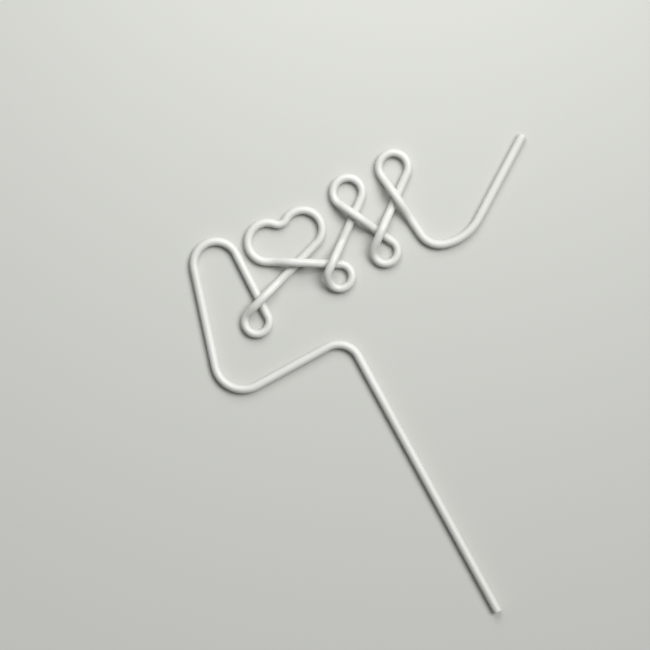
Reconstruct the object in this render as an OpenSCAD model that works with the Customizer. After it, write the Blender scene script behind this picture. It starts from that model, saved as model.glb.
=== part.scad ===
// Looped drinking straw: one soft-white plastic tube, bent round pegs into
// an arch, a heart, three hanging rings and two standing loops, on a long leg.
// Millimetres. The straw lies flat on Z = 0 with its leg along Y.

/* [Tube] */
// Outside diameter of the tube
tube_d = 5.2; // [4.4:0.1:6.2]
// Thickness of the tube wall
wall_t = 0.7; // [0.4:0.05:1.1]
// Clear height between the tube and the turn that it passes over
pass_gap = 0.3; // [0.2:0.05:0.8]
// Length over which the tube climbs to pass over an earlier turn
climb_l = 12; // [10:1:16]

/* [Leg] */
// Straight length of the leg, from its cut foot to the corner
leg_l = 178.5; // [150:0.5:220]
// Centre-line radius of the corner at the top of the leg
corner_r = 14; // [11:0.5:16]

/* [Base run] */
// Distance from the leg to the middle of the return bend
run_l = 63.5; // [60:0.5:72]
// Height of the middle of the return bend above the straight of the leg
run_rise = 31.5; // [29:0.5:34]
// Centre-line radius of the return bend
return_r = 17.5; // [15:0.5:20]

/* [Arch] */
// Centre-line radius of the arch
arch_r = 13.75; // [11:0.25:15]
// Height of the middle of the arch above the middle of the return bend
arch_h = 60.25; // [52:0.25:66]
// Distance of the middle of the arch to the right of the return bend
arch_in = 14; // [10:0.5:16]

/* [Rings and standing loops] */
// Centre-line radius of the hanging rings
ring_r = 7.5; // [6.5:0.25:8.5]
// Distance from the leg to the middle of the first ring
ring_l = 44.5; // [42.5:0.5:46]
// Height of the middles of the rings above the straight of the leg
ring_h = 48.5; // [45:0.5:51]
// Centre-line radius of the standing loops
crown_r = 9; // [7.5:0.25:10]
// Height of the middles of the standing loops above the rings
crown_h = 43; // [38:0.5:50]
// Distance between neighbouring rings of the looped end
loop_pitch = 32; // [30:0.5:38]
// Angle at which the row leans to the right
lean_a = 16.7; // [12:0.1:20]

/* [Heart] */
// Distance between the rings on either side of the heart
heart_span = 58; // [54:0.5:66]
// Centre-line radius of the two lobes
lobe_r = 12; // [10.5:0.25:13]
// Distance between the middles of the lobes
lobe_gap = 23; // [20:0.5:25]
// Centre-line radius of the bend between the lobes
cusp_r = 5.5; // [5:0.25:7]
// Height of the middles of the lobes above the rings
heart_h = 38; // [36:0.5:42]
// Angle by which the heart is turned to the right
heart_tilt = 9; // [0:1:15]

/* [Tail] */
// Distance from the last ring to the middle of the trough
trough_out = 38; // [37:0.5:46]
// Centre-line radius of the trough
trough_r = 14; // [11:0.5:16]
// Angle at which the trough opens into the wider sweep of the tail
low_a = -18; // [-30:1:0]
// Centre-line radius of the sweep of the tail
sweep_r = 30; // [22:1:45]
// Straight length of the tail, up to its cut mouth end
tail_l = 58; // [30:1:80]
// Angle of the tail to the row
tail_a = 33.5; // [24:0.5:45]

/* [Hidden] */
soft_white = [0.93, 0.93, 0.90];

// Sides of the tube in the bent stretch, and the steps along it
sides = 12;
bend_step = 15;
run_step = 4;
bore_d = tube_d - 2 * wall_t;
pass_h = tube_d + pass_gap;

// A peg is [x, y, radius, side]. The tube runs straight from peg to peg and
// wraps round each: side 1 turns it left, side -1 turns it right.
function row_peg(along, up, r, side) =
    [along - ring_l + up * tan(lean_a), leg_l + ring_h + up, r, side];

function beside(peg, a) =
    [peg.x + peg[3] * peg[2] * sin(a), peg.y - peg[3] * peg[2] * cos(a)];

foot = [0, 0, 0, 1];
corner = [-corner_r, leg_l, corner_r, 1];
return_bend = [-run_l, leg_l + run_rise, return_r, -1];
arch = [arch_in - run_l, leg_l + run_rise + arch_h, arch_r, -1];

// The lobes lie either side of the heart's middle, and the bend between them
// touches both from above
function heart_pegs(mid) = let (
        half = lobe_gap / 2,
        top = sqrt(pow(lobe_r + cusp_r, 2) - half * half),
        across = [cos(heart_tilt), -sin(heart_tilt)],
        up = [sin(heart_tilt), cos(heart_tilt)])
    [for (p = [[half * across, lobe_r, 1], [top * up, cusp_r, -1], [-half * across, lobe_r, 1]])
        [mid.x + p[0].x, mid.y + p[0].y, p[1], p[2]]];

function ring(along) = row_peg(along, 0, ring_r, -1);
function crown(along) = row_peg(along, crown_h, crown_r, 1);

// The trough opens without a straight into the sweep, which turns up to the tail
last_ring = heart_span + loop_pitch;
trough = row_peg(last_ring + trough_out, 0, trough_r, 1);
opening = (sweep_r - trough_r) * [-sin(low_a), cos(low_a)];
sweep = [trough.x + opening.x, trough.y + opening.y, sweep_r, 1];
mouth_point = beside(sweep, tail_a) + tail_l * [cos(tail_a), sin(tail_a)];
mouth = [mouth_point.x, mouth_point.y, 0, 1];

pegs = concat(
    [foot, corner, return_bend, arch, ring(0)],
    heart_pegs(row_peg(heart_span / 2, heart_h, 0, 1)),
    [ring(heart_span), crown(heart_span + loop_pitch / 2), ring(last_ring),
     crown(last_ring + loop_pitch / 2), trough, sweep, mouth]);

// Direction of the straight from each peg to the next one
headings = [for (i = [0:len(pegs) - 2]) let (
        a = pegs[i],
        b = pegs[i + 1],
        q = (a[3] * a[2] - b[3] * b[2]) / norm([b.x - a.x, b.y - a.y]))
    atan2(b.y - a.y, b.x - a.x) + asin(max(-1, min(1, q)))];

// Angle through which the tube wraps a peg, always the way of its side
function wrap(i) = let (t = pegs[i][3] * (headings[i] - headings[i - 1]))
    pegs[i][3] * (t - 360 * floor(t / 360));

// Stations of the bent stretch: [x, y, heading, 1 if the tube needs it there]
stations = concat(
    [[0, leg_l, headings[0], 1]],
    [for (i = [1:len(pegs) - 2]) let (turn = wrap(i), n = ceil(abs(turn) / bend_step),
            a = beside(pegs[i], headings[i]), b = beside(pegs[i + 1], headings[i]),
            gap = norm(b - a), m = gap < 0.01 ? 0 : ceil(gap / run_step))
        each concat(
            [for (k = [1:n]) let (h = headings[i - 1] + turn * k / n, p = beside(pegs[i], h))
                [p.x, p.y, h, 1]],
            [for (k = [1:1:m]) let (p = a + (b - a) * k / m)
                [p.x, p.y, headings[i], k == m ? 1 : 0]])]);
last = len(stations) - 1;
plan = [for (p = stations) [p.x, p.y]];
along = [for (i = 0, s = 0; i <= last; s = s + (i < last ? norm(plan[i + 1] - plan[i]) : 0), i = i + 1) s];

// Distance in plan from point p to the piece of tube between stations j and j + 1
function off_piece(p, j) = let (
        e = plan[j + 1] - plan[j],
        t = max(0, min(1, (p - plan[j]) * e / (e * e))))
    norm(p - plan[j] - t * e);

// Where the tube passes over an earlier turn: [station, station below]
passes = [for (k = [1:last], j = [0:1:k - 1])
    if (along[k] - along[j + 1] > 2.5 * tube_d && norm(plan[k] - plan[j]) < 2 * tube_d + run_step
            && off_piece(plan[k], j) < pass_h)
        [k, j]];

// Height of each station above the floor line. Every pass lifts the later
// turn over the earlier one, and the tube climbs and falls back in a cosine.
function climbed(below) = [for (k = [0:last])
    max([0, for (p = passes) let (d = abs(along[k] - along[p[0]]))
        if (d < climb_l)
            (pass_h + max(below[p[1]], below[p[1] + 1])) * (1 + cos(180 * d / climb_l)) / 2])];
flat = [for (k = [0:last]) 0];
lift = climbed(climbed(climbed(flat)));

// Stations that the tube is drawn through: flat straights need only their ends
drawn = [for (k = [0:last])
    if (stations[k][3] == 1 || lift[k] + lift[k - 1] + lift[k + 1] > 0) k];

// A polygon with the same area as the circle keeps the true section
function polygon_r(r) = r * sqrt(2 * PI / (sides * sin(360 / sides)));

// Square section of the tube at station k
function section(k, r) = let (
        i = max(0, k - 1),
        j = min(last, k + 1),
        h = stations[k][2],
        pitch = atan2(lift[j] - lift[i], along[j] - along[i]),
        side = [-sin(h), cos(h), 0],
        up = [-sin(pitch) * cos(h), -sin(pitch) * sin(h), cos(pitch)])
    [for (n = [0:sides - 1]) let (a = (n + 0.5) * 360 / sides)
        [plan[k].x, plan[k].y, lift[k]] + polygon_r(r) * (cos(a) * side + sin(a) * up)];

// The leg is a plain round tube
module leg() {
    rotate([-90, 0, 0])
        difference() {
            cylinder(h = leg_l, d = tube_d, $fn = 96);
            translate([0, 0, -1])
                cylinder(h = leg_l + 2, d = bore_d, $fn = 96);
        }
}

// The bent stretch: an outer and an inner skin carried along the route and
// closed by a ring at each end
module bent_stretch() {
    count = len(drawn);
    points = [for (k = drawn) each concat(section(k, tube_d / 2), section(k, bore_d / 2))];
    function at(row, skin, n) = (row * 2 + skin) * sides + n % sides;
    walls = [for (row = [0:count - 2], n = [0:sides - 1]) each [
        [at(row, 0, n), at(row + 1, 0, n), at(row + 1, 0, n + 1)],
        [at(row, 0, n), at(row + 1, 0, n + 1), at(row, 0, n + 1)],
        [at(row, 1, n), at(row + 1, 1, n + 1), at(row + 1, 1, n)],
        [at(row, 1, n), at(row, 1, n + 1), at(row + 1, 1, n + 1)]]];
    ends = [for (n = [0:sides - 1]) each [
        [at(0, 0, n), at(0, 0, n + 1), at(0, 1, n + 1)],
        [at(0, 0, n), at(0, 1, n + 1), at(0, 1, n)],
        [at(count - 1, 0, n), at(count - 1, 1, n + 1), at(count - 1, 0, n + 1)],
        [at(count - 1, 0, n), at(count - 1, 1, n), at(count - 1, 1, n + 1)]]];
    polyhedron(points, concat(walls, ends));
}

// The middle of the straw's box on the floor is the origin
left = min([for (p = plan) p.x]) - tube_d / 2;
right = max([for (p = plan) p.x]) + tube_d / 2 * sin(tail_a);
top = max([for (p = plan) p.y]) + tube_d / 2;

module straw_tube() {
    color(soft_white)
        translate([-(left + right) / 2, -top / 2, tube_d / 2]) {
            leg();
            bent_stretch();
        }
}

straw_tube();
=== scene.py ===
import math
import bpy
import numpy as np
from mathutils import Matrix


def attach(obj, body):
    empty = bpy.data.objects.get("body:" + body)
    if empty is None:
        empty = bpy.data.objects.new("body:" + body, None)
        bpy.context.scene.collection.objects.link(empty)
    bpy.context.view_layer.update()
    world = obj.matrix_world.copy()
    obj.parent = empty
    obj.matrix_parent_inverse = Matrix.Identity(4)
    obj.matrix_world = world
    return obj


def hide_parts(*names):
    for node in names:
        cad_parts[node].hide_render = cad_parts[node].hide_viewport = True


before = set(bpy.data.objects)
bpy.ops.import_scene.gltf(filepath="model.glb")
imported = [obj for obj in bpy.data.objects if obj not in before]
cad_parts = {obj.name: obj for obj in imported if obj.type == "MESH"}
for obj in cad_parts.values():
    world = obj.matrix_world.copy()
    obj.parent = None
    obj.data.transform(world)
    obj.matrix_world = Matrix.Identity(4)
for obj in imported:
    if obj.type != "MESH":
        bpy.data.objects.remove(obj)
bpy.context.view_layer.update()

# ---------------------------------------------------------------- the straw
# One piece of hard soft-white plastic tube, extruded straight and cut square at both ends, then
# warmed and bent round pegs. It runs from peg to peg on their common tangent, flattens a little
# in the tight bends, and climbs over itself where its route crosses.
tube_d = 0.0052
wall_t = 0.0007
rim_r = 0.00012         # rounding of the cut ends
flatten = 0.055         # share of its width that the section loses in the bend of a ring
bend_blend = 0.006      # length over which the flattening comes and goes
pass_gap = 0.0003       # clear height where the tube passes over an earlier turn
climb_l = 0.012         # length of a climb
climb_blend = 0.013     # length over which the starts and ends of the climbs are softened

leg_l = 0.1785          # straight of the leg, from its cut foot to the corner
corner_r = 0.014
run_l = 0.0635          # from the leg to the middle of the return bend
run_rise = 0.0315       # middle of the return bend above the straight of the leg
return_r = 0.0175
arch_r = 0.01375
arch_h = 0.06025        # middle of the arch above the middle of the return bend
arch_in = 0.014         # middle of the arch to the right of the return bend
ring_r = 0.0075         # hanging rings
ring_l = 0.0445         # from the leg to the middle of the first ring
ring_h = 0.0485         # middles of the rings above the straight of the leg
crown_r = 0.009         # standing loops
crown_h = 0.043         # middles of the standing loops above the rings
loop_pitch = 0.032      # between neighbouring rings of the looped end
lean = math.tan(math.radians(16.7))     # of the row to the right, for each metre up
heart_span = 0.058      # between the rings on either side of the heart
lobe_r = 0.012
lobe_gap = 0.023        # between the middles of the two lobes
cusp_r = 0.0055         # bend between the lobes
heart_h = 0.038         # middles of the lobes above the rings
heart_tilt = math.radians(9)
trough_out = 0.038      # from the last ring to the middle of the trough
trough_r = 0.014
low_a = math.radians(-18)       # heading at which the trough opens into the wider sweep
sweep_r = 0.030
tail_l = 0.058          # straight of the tail, up to its cut mouth end
tail_a = math.radians(33.5)

last_ring = heart_span + loop_pitch
pass_h = tube_d + pass_gap


# A peg is (x, y, radius, side): side 1 turns the tube left round it, side -1 turns it right
def row_peg(along, up, r, side):
    """A peg of the leaning row: along the row from the first ring, and up from the rings."""
    return (along - ring_l + up * lean, leg_l + ring_h + up, r, side)


def beside(peg, a):
    """Where the tube touches a peg's circle while it heads the way of angle a: a radius to the
    right of the heading from the peg's middle for side 1, and to the left for side -1."""
    x, y, r, side = peg
    return np.array([x + side * r * np.sin(a), y - side * r * np.cos(a)])


def heart_pegs(mid):
    """Two lobes either side of the middle, and the small bend that touches both from above."""
    half = lobe_gap / 2
    top = math.sqrt((lobe_r + cusp_r) ** 2 - half ** 2)
    across = (math.cos(heart_tilt), -math.sin(heart_tilt))
    up = (math.sin(heart_tilt), math.cos(heart_tilt))
    return [(mid[0] + half * across[0], mid[1] + half * across[1], lobe_r, 1),
            (mid[0] + top * up[0], mid[1] + top * up[1], cusp_r, -1),
            (mid[0] - half * across[0], mid[1] - half * across[1], lobe_r, 1)]


trough = row_peg(last_ring + trough_out, 0, trough_r, 1)
sweep = (trough[0] - (sweep_r - trough_r) * math.sin(low_a),
         trough[1] + (sweep_r - trough_r) * math.cos(low_a), sweep_r, 1)
mouth_point = beside(sweep, tail_a) + tail_l * np.array([math.cos(tail_a), math.sin(tail_a)])
pegs = [
    (0, 0, 0, 1),
    (-corner_r, leg_l, corner_r, 1),
    (-run_l, leg_l + run_rise, return_r, -1),
    (arch_in - run_l, leg_l + run_rise + arch_h, arch_r, -1),
    row_peg(0, 0, ring_r, -1),
    *heart_pegs(row_peg(heart_span / 2, heart_h, 0, 1)),
    row_peg(heart_span, 0, ring_r, -1),
    row_peg(heart_span + loop_pitch / 2, crown_h, crown_r, 1),
    row_peg(last_ring, 0, ring_r, -1),
    row_peg(last_ring + loop_pitch / 2, crown_h, crown_r, 1),
    trough, sweep, (mouth_point[0], mouth_point[1], 0, 1)]


def straight_way(peg, after):
    """Heading of the straight that touches two pegs: the way of the line between their middles,
    turned by asin((side r - side after's r) / distance), each r with its own peg's side."""
    (x1, y1, r1, side1), (x2, y2, r2, side2) = peg, after
    q = (side1 * r1 - side2 * r2) / math.hypot(x2 - x1, y2 - y1)
    return math.atan2(y2 - y1, x2 - x1) + math.asin(max(-1, min(1, q)))


def equal_parts(length, step):
    """Shares from 0 to 1 that cut a length into equal parts, none longer than the step."""
    return np.linspace(0, 1, math.ceil(length / step - 1e-9) + 1)


def route(bend_step, run_step):
    """Stations along the pegs: columns x, y, heading, distance from the foot and curvature.

    At each peg the tube turns the way of the peg's side until it heads along the next straight,
    with a station every bend_step, and the straight has one every run_step. Pegs whose circles
    touch have no straight between them.
    """
    rows, gone = [], 0.0
    heading = straight_way(pegs[0], pegs[1])
    for i, (peg, after) in enumerate(zip(pegs, pegs[1:])):
        r, side = peg[2:]
        if i > 0:
            turn = side * ((side * (straight_way(peg, after) - heading)) % (2 * math.pi))
            t = equal_parts(abs(turn), bend_step)[1:]
            h, s = heading + turn * t, gone + abs(turn) * r * t
            rows.append(np.stack(np.broadcast_arrays(*beside(peg, h), h, s, side / r), 1))
            heading, gone = h[-1], s[-1]
        start, end = beside(peg, heading), beside(after, heading)
        length = math.hypot(*(end - start))
        if length > 1e-5:
            t = equal_parts(length, run_step)[min(i, 1):]
            p, s = start[:, None] + (end - start)[:, None] * t, gone + length * t
            rows.append(np.stack(np.broadcast_arrays(*p, heading, s, 0.0), 1))
            gone = s[-1]
    return np.concatenate(rows)


def climbs(stations):
    """Height of each station. Where a later station lies over an earlier stretch, the tube is
    lifted over it, and climbs and falls back as (1 + cos(pi d / climb_l)) / 2 with the distance
    d along the tube. Three rounds settle turns that lie over a climbing turn."""
    p, s = stations[:, :2], stations[:, 3]
    piece = p[1:] - p[:-1]
    reach = p[:, None] - p[None, :-1]
    t = np.clip((reach * piece).sum(2) / (piece ** 2).sum(1), 0, 1)
    off = np.linalg.norm(reach - t[..., None] * piece, axis=2)
    other_turn = s[:, None] - s[None, 1:] > 2.5 * tube_d
    over, under = np.nonzero((off < pass_h) & other_turn)
    d = np.abs(s[:, None] - s[None, over])
    ramp = np.where(d < climb_l, (1 + np.cos(np.pi * d / climb_l)) / 2, 0)
    lift = np.zeros(len(s))
    for _ in range(3):
        lift = (ramp * (pass_h + np.maximum(lift[under], lift[under + 1]))).max(1)
    return lift


# The crossings, the climbs and the origin are worked out on the stations of the CAD model. The
# middle of the straw's box on the floor is the origin.
coarse = route(bend_step=math.radians(15), run_step=0.004)
lift = climbs(coarse)
left = coarse[:, 0].min() - tube_d / 2
right = coarse[:, 0].max() + tube_d / 2 * math.sin(tail_a)
top = coarse[:, 1].max() + tube_d / 2
home = np.array([-(left + right) / 2, -top / 2, tube_d / 2])


def smooth(values, s, width):
    """Values on an even run of distances, averaged over a raised-cosine window of that width."""
    n = max(1, int(width / (s[1] - s[0]) / 2))
    w = 1 + np.cos(np.linspace(-np.pi, np.pi, 2 * n + 3)[1:-1])
    return np.convolve(np.pad(values, n, mode="edge"), w / w.sum(), mode="valid")


def straw_skin(sides, even_step, end_gap):
    """Grid of the whole wall, and each row's distance from the foot. Rows go up the outside from
    foot to mouth, round the mouth's rim, back down the bore and round the foot's rim. A row is a
    circle of points about the route: place + r (side cos a + up sin a), with the side part a
    little shorter in a bend. Climbs and bends are softened on even steps along the tube. The
    stations keep end_gap off the rims, and the bore has every second one."""
    fine = route(bend_step=math.radians(4.5), run_step=0.002)
    length = fine[-1, 3]
    even = np.arange(0, length + even_step, even_step)
    height = smooth(np.interp(even, coarse[:, 3], lift), even, climb_blend)
    slope = np.gradient(height, even)
    bend = smooth(np.interp(even, fine[:, 3], np.abs(fine[:, 4])), even, bend_blend)
    squeeze = flatten * bend * ring_r

    outer_r, bore_r = tube_d / 2, tube_d / 2 - wall_t
    quarter = np.linspace(0, np.pi / 2, 4)
    rim_s = rim_r * (1 - np.cos(quarter))
    rim_in = rim_r * (1 - np.sin(quarter))
    out_s = fine[(fine[:, 3] > end_gap) & (fine[:, 3] < length - end_gap), 3]
    back_s = out_s[::-2]
    s = np.concatenate([rim_s, out_s, length - rim_s[::-1], length - rim_s, back_s, rim_s[::-1]])
    r = np.concatenate([outer_r - rim_in, np.full(len(out_s), outer_r), outer_r - rim_in[::-1],
                        bore_r + rim_in, np.full(len(back_s), bore_r), bore_r + rim_in[::-1]])

    x, y, h = (np.interp(s, fine[:, 3], fine[:, k]) for k in range(3))
    z, tilt = np.interp(s, even, height), np.arctan(np.interp(s, even, slope))
    thin = 1 - np.interp(s, even, squeeze)
    place = np.stack([x, y, z], 1) + home
    side = np.stack([-np.sin(h), np.cos(h), 0 * h], 1)
    up = np.stack([-np.sin(tilt) * np.cos(h), -np.sin(tilt) * np.sin(h), np.cos(tilt)], 1)
    a = np.arange(sides) * 2 * np.pi / sides
    sideways = side[:, None] * (thin[:, None] * np.cos(a))[..., None]
    upward = up[:, None] * np.sin(a)[None, :, None]
    return place[:, None] + r[:, None, None] * (sideways + upward), s


def closed_grid(name, grid, s):
    """Mesh of a grid that closes on itself both ways: each face joins a point, the next point
    round and the same two of the next row. Each point also carries its place on the tube for the
    material, (cos a, sin a, distance along), with no seam round the tube."""
    rows, n = grid.shape[:2]
    i, j = np.meshgrid(np.arange(rows), np.arange(n), indexing="ij")
    i2, j2 = (i + 1) % rows, (j + 1) % n
    quads = np.stack([i * n + j, i * n + j2, i2 * n + j2, i2 * n + j], 2).reshape(-1, 4)
    mesh = bpy.data.meshes.new(name)
    mesh.vertices.add(rows * n)
    mesh.vertices.foreach_set("co", grid.reshape(-1))
    mesh.loops.add(quads.size)
    mesh.loops.foreach_set("vertex_index", quads.reshape(-1))
    mesh.polygons.add(len(quads))
    mesh.polygons.foreach_set("loop_start", np.arange(len(quads)) * 4)
    mesh.polygons.foreach_set("use_smooth", np.ones(len(quads), bool))
    a = j * 2 * np.pi / n
    carried = mesh.attributes.new("round_and_along", "FLOAT_VECTOR", "POINT")
    carried.data.foreach_set("vector", np.stack([np.cos(a), np.sin(a), s[i]], 2).reshape(-1))
    mesh.update(calc_edges=True)
    mesh.validate()
    obj = bpy.data.objects.new(name, mesh)
    bpy.context.collection.objects.link(obj)
    return obj


def soft_white_plastic():
    """Extruded plastic: two close whites in wide soft patches, faint draw lines along the tube that
    vary the gloss and the relief, and a fine grain. Reads Object coordinates and the place that each
    point of the tube carries."""
    mat = bpy.data.materials.new("soft_white_plastic")
    mat.use_nodes = True
    nodes, links = mat.node_tree.nodes, mat.node_tree.links
    bsdf = nodes["Principled BSDF"]
    bsdf.inputs["IOR"].default_value = 1.49
    bsdf.inputs["Subsurface Weight"].default_value = 0.12
    bsdf.inputs["Subsurface Radius"].default_value = (0.9, 0.85, 0.75)
    bsdf.inputs["Subsurface Scale"].default_value = 0.0012
    coords = nodes.new("ShaderNodeTexCoord")

    patches = nodes.new("ShaderNodeTexNoise")
    patches.inputs["Scale"].default_value = 22
    patches.inputs["Detail"].default_value = 3
    links.new(coords.outputs["Object"], patches.inputs["Vector"])
    tint = nodes.new("ShaderNodeValToRGB")
    tint.color_ramp.elements[0].position = 0.32
    tint.color_ramp.elements[0].color = (0.675, 0.680, 0.642, 1)
    tint.color_ramp.elements[1].position = 0.68
    tint.color_ramp.elements[1].color = (0.730, 0.735, 0.702, 1)
    links.new(patches.outputs["Fac"], tint.inputs["Fac"])
    links.new(tint.outputs["Color"], bsdf.inputs["Base Color"])

    skin = nodes.new("ShaderNodeAttribute")
    skin.attribute_name = "round_and_along"
    drawn = nodes.new("ShaderNodeMapping")
    drawn.inputs["Scale"].default_value = (4.5, 4.5, 12)
    links.new(skin.outputs["Vector"], drawn.inputs["Vector"])
    lines = nodes.new("ShaderNodeTexNoise")
    lines.inputs["Scale"].default_value = 1
    lines.inputs["Detail"].default_value = 2
    links.new(drawn.outputs["Vector"], lines.inputs["Vector"])
    grain = nodes.new("ShaderNodeTexNoise")
    grain.inputs["Scale"].default_value = 2600
    grain.inputs["Detail"].default_value = 2
    links.new(coords.outputs["Object"], grain.inputs["Vector"])

    gloss = nodes.new("ShaderNodeMapRange")
    gloss.inputs["From Min"].default_value = 0.3
    gloss.inputs["From Max"].default_value = 0.7
    gloss.inputs["To Min"].default_value = 0.32
    gloss.inputs["To Max"].default_value = 0.50
    links.new(lines.outputs["Fac"], gloss.inputs["Value"])
    links.new(gloss.outputs["Result"], bsdf.inputs["Roughness"])
    relief = nodes.new("ShaderNodeBump")
    relief.inputs["Strength"].default_value = 0.5
    relief.inputs["Distance"].default_value = 0.00015
    links.new(lines.outputs["Fac"], relief.inputs["Height"])
    fine_relief = nodes.new("ShaderNodeBump")
    fine_relief.inputs["Strength"].default_value = 0.12
    fine_relief.inputs["Distance"].default_value = 0.00001
    links.new(grain.outputs["Fac"], fine_relief.inputs["Height"])
    links.new(relief.outputs["Normal"], fine_relief.inputs["Normal"])
    links.new(fine_relief.outputs["Normal"], bsdf.inputs["Normal"])
    return mat


straw = closed_grid("straw", *straw_skin(sides=48, even_step=0.0005, end_gap=0.001))
straw.data.materials.append(soft_white_plastic())
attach(straw, "root")
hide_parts("straw_tube")

# ---------------------------------------------------------------- floor, light and camera
# The straw lies on a plain pale grey floor. A wide even light from up and right of the view gives
# the bright ridge along the tube and the soft shadow on its other side, and a square soft lamp
# beyond the top of the view fills the shadow. The camera looks straight down.
view_turn = math.radians(28.65)
view_right = np.array([math.cos(view_turn), -math.sin(view_turn), 0])
view_up = np.array([math.sin(view_turn), math.cos(view_turn), 0])


def floor_sheet(half):
    """A flat square sheet, half its width each way from the origin, that the straw lies on."""
    corners = [(-half, -half, 0), (half, -half, 0), (half, half, 0), (-half, half, 0)]
    mesh = bpy.data.meshes.new("floor")
    mesh.from_pydata(corners, [], [(0, 1, 2, 3)])
    mat = bpy.data.materials.new("pale_floor")
    mat.use_nodes = True
    bsdf = mat.node_tree.nodes["Principled BSDF"]
    bsdf.inputs["Base Color"].default_value = (0.580, 0.587, 0.553, 1)
    bsdf.inputs["Roughness"].default_value = 0.9
    bsdf.inputs["Specular IOR Level"].default_value = 0.1
    mesh.materials.append(mat)
    obj = bpy.data.objects.new("floor", mesh)
    bpy.context.collection.objects.link(obj)
    return obj


floor_sheet(half=1.5)


def lamp_at(name, kind, right, up, height, power):
    """A lamp that stands off from the middle of the floor by metres right and up in the view and in
    height, and is tilted and turned to shine on that middle."""
    lamp = bpy.data.lights.new(name, kind)
    lamp.energy = power
    obj = bpy.data.objects.new(name, lamp)
    bpy.context.collection.objects.link(obj)
    place = right * view_right + up * view_up + np.array([0, 0, height])
    tilt = math.acos(height / np.linalg.norm(place))
    turn = math.atan2(place[1], place[0]) + math.pi / 2
    obj.location = place
    obj.rotation_euler = (tilt, 0, turn)
    return lamp


key = lamp_at("key", "SUN", right=0.51, up=0.32, height=0.86, power=2.05)
key.angle = math.radians(32)
fill = lamp_at("fill", "AREA", right=-0.02, up=0.46, height=0.46, power=2.3)
fill.size = 0.42
world = bpy.data.worlds.new("studio")
world.use_nodes = True
world.node_tree.nodes["Background"].inputs["Color"].default_value = (1, 1, 1, 1)
world.node_tree.nodes["Background"].inputs["Strength"].default_value = 0.16
bpy.context.scene.world = world
bpy.context.scene.view_settings.view_transform = "Standard"

# The foot of the leg lies at foot_px in the square picture, and a pixel is pixel_m on the floor
image_px, pixel_m = 650, 0.000615
foot_px = np.array([497.6, 611])
to_centre = (image_px / 2 - foot_px) * np.array([1, -1]) * pixel_m
centre = home * np.array([1, 1, 0]) + to_centre[0] * view_right + to_centre[1] * view_up
camera_h = 1.4
camera = bpy.data.cameras.new("camera")
camera.sensor_width = 36
camera.lens = camera.sensor_width * camera_h / (image_px * pixel_m)
camera_obj = bpy.data.objects.new("camera", camera)
camera_obj.location = centre + np.array([0, 0, camera_h])
camera_obj.rotation_euler = (0, 0, -view_turn)
bpy.context.collection.objects.link(camera_obj)
bpy.context.scene.camera = camera_obj
